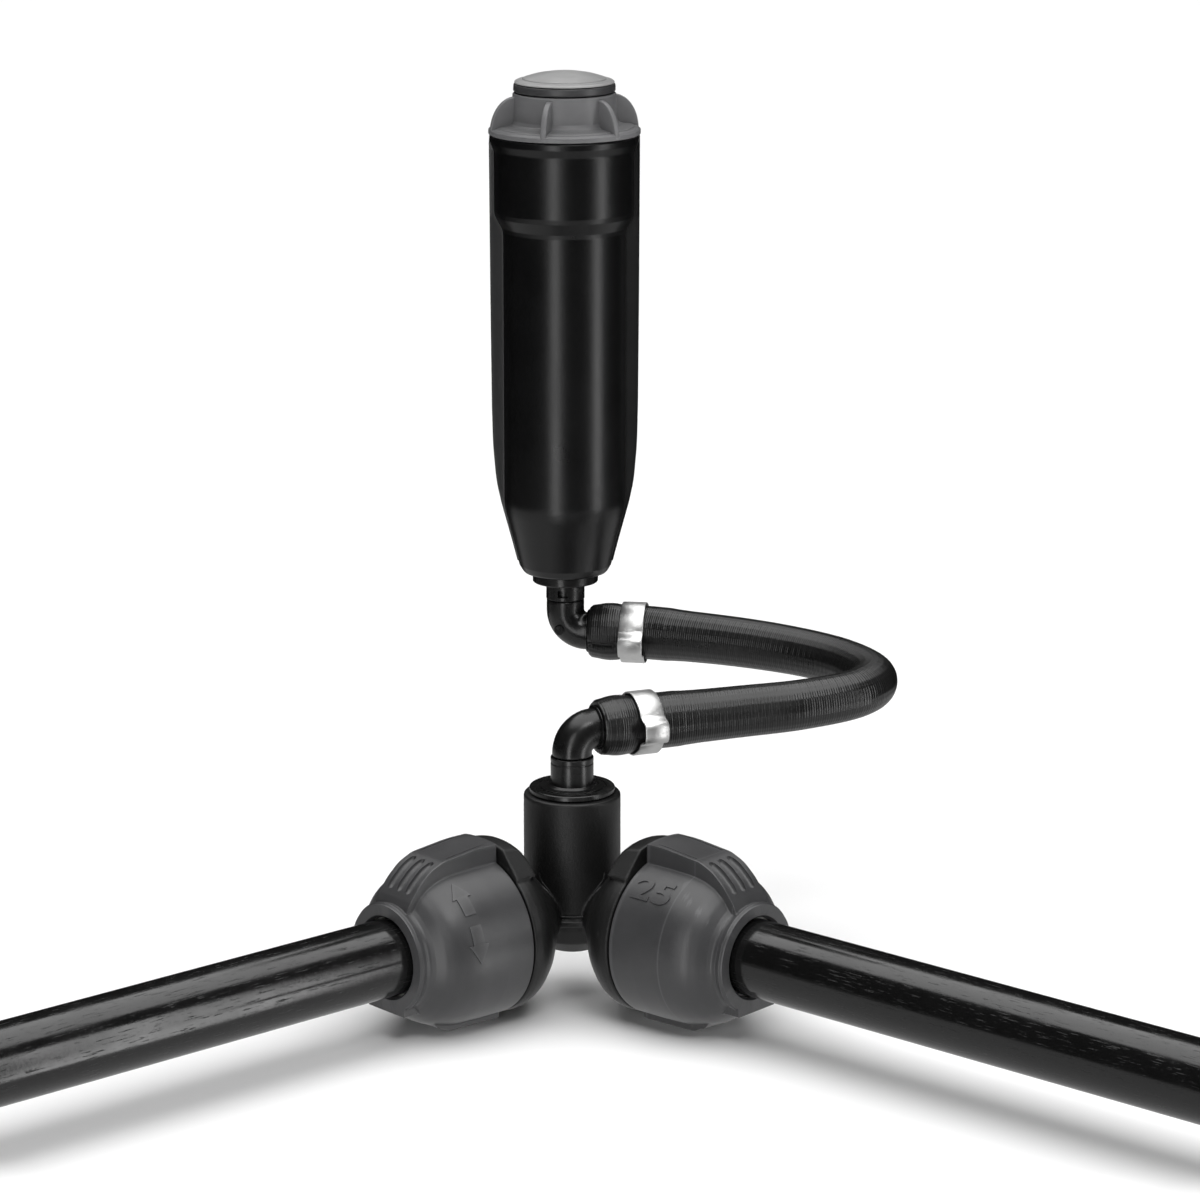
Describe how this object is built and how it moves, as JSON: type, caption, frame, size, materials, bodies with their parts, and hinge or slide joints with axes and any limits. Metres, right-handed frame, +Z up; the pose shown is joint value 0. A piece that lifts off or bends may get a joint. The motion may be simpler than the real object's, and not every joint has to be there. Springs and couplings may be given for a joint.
{
  "type": "pop up sprinkler",
  "caption": "Pop up turbine sprinkler on a swivelling hose joint, rising from a corner tee that joins two buried supply pipes.",
  "frame": {"origin": "where the upright socket of the corner tee crosses the axes of the two supply pipes", "axes": "+Z up along the tee's upright socket and both swivels; the two pipes run out level toward -X -Y and +X -Y; the sprinkler stands toward +Y"},
  "size_m": [0.3951, 0.311, 0.2925],
  "materials": {
    "grained_black": "fine moulded grain, matte",
    "pipe_black": "extruded polyethylene, glossy with scratches",
    "seal_rubber": "matte",
    "acetal": "white engineering plastic",
    "gloss_black": "gloss",
    "anthracite": "satin moulded plastic",
    "hose_rubber": "semi-gloss with a faint braid texture",
    "clamp_silver": "bright pressed metal",
    "satin_black": "satin",
    "spring_steel": "bright wire",
    "cover_rubber": "soft grey rubber"
  },
  "bodies": {
    "supply": {"corner_tee": "grained_black", "supply_pipe_left": "pipe_black", "supply_pipe_right": "pipe_black", "pipe_seal_left": "seal_rubber", "pipe_seal_right": "seal_rubber", "pressure_ring_left": "acetal", "pressure_ring_right": "acetal", "grip_ring_left": "acetal", "grip_ring_right": "acetal", "lower_nipple": "gloss_black"},
    "nut_left": {"quick_nut_left": "anthracite"},
    "nut_right": {"quick_nut_right": "anthracite"},
    "swing": {"lower_elbow": "gloss_black", "lower_swivel_ring": "seal_rubber", "swing_hose": "hose_rubber", "lower_hose_clamp": "clamp_silver", "upper_hose_clamp": "clamp_silver", "upper_elbow": "gloss_black", "upper_swivel_ring": "seal_rubber"},
    "sprinkler": {"upper_nipple": "gloss_black", "sprinkler_case": "satin_black", "screw_cap": "anthracite", "cap_seal": "seal_rubber", "wiper_seal": "seal_rubber", "guide_ring": "acetal", "retraction_spring": "spring_steel"},
    "riser": {"riser_tube": "satin_black", "inlet_screen": "acetal", "stator_plate": "acetal", "gear_case": "satin_black", "gear_case_lid": "satin_black", "idler_pin": "spring_steel"},
    "turbine": {"turbine_wheel": "acetal", "turbine_shaft": "spring_steel", "turbine_pinion": "acetal"},
    "idler": {"idler_wheel": "acetal"},
    "turret": {"nozzle_turret": "satin_black", "spray_nozzle": "acetal", "radius_screw": "spring_steel", "turret_head": "gloss_black", "turret_cover": "cover_rubber", "output_shaft": "spring_steel", "output_wheel": "acetal"}
  },
  "joints": [
    {"name": "nut_left_turn", "type": "hinge", "parent": "supply", "child": "nut_left", "pos_m": [-0.0448, -0.03991, 0], "axis": [-0.7466, -0.6652, 0], "range_deg": [0, 140]},
    {"name": "nut_right_turn", "type": "hinge", "parent": "supply", "child": "nut_right", "pos_m": [0.0448, -0.03991, 0], "axis": [0.7466, -0.6652, 0], "range_deg": [0, 140]},
    {"name": "lower_swivel", "type": "hinge", "parent": "supply", "child": "swing", "pos_m": [0, 0, 0.045], "axis": [0, 0, 1], "range_deg": [-180, 180]},
    {"name": "upper_swivel", "type": "hinge", "parent": "swing", "child": "sprinkler", "pos_m": [-0.0029, 0.1, 0.09], "axis": [0, 0, 1], "range_deg": [-180, 180]},
    {"name": "riser_lift", "type": "slide", "parent": "sprinkler", "child": "riser", "axis": [0, 0, 1], "range_m": [0, 0.09], "stiffness_N_per_m": 150, "springref_m": -0.03, "deforming": ["retraction_spring"]},
    {"name": "turret_turn", "type": "hinge", "parent": "riser", "child": "turret", "pos_m": [-0.0029, 0.1, 0.247], "axis": [0, 0, 1], "continuous": true},
    {"name": "idler_spin", "type": "hinge", "parent": "riser", "child": "idler", "pos_m": [0.00268, 0.1, 0.2], "axis": [0, 0, 1], "continuous": true},
    {"name": "turbine_spin", "type": "hinge", "parent": "riser", "child": "turbine", "pos_m": [-0.0029, 0.1, 0.183], "axis": [0, 0, 1], "continuous": true}
  ],
  "couplings": [
    {"joint": "idler_spin", "follows": "turret_turn", "ratio": -2},
    {"joint": "turbine_spin", "follows": "turret_turn", "ratio": 4}
  ]
}
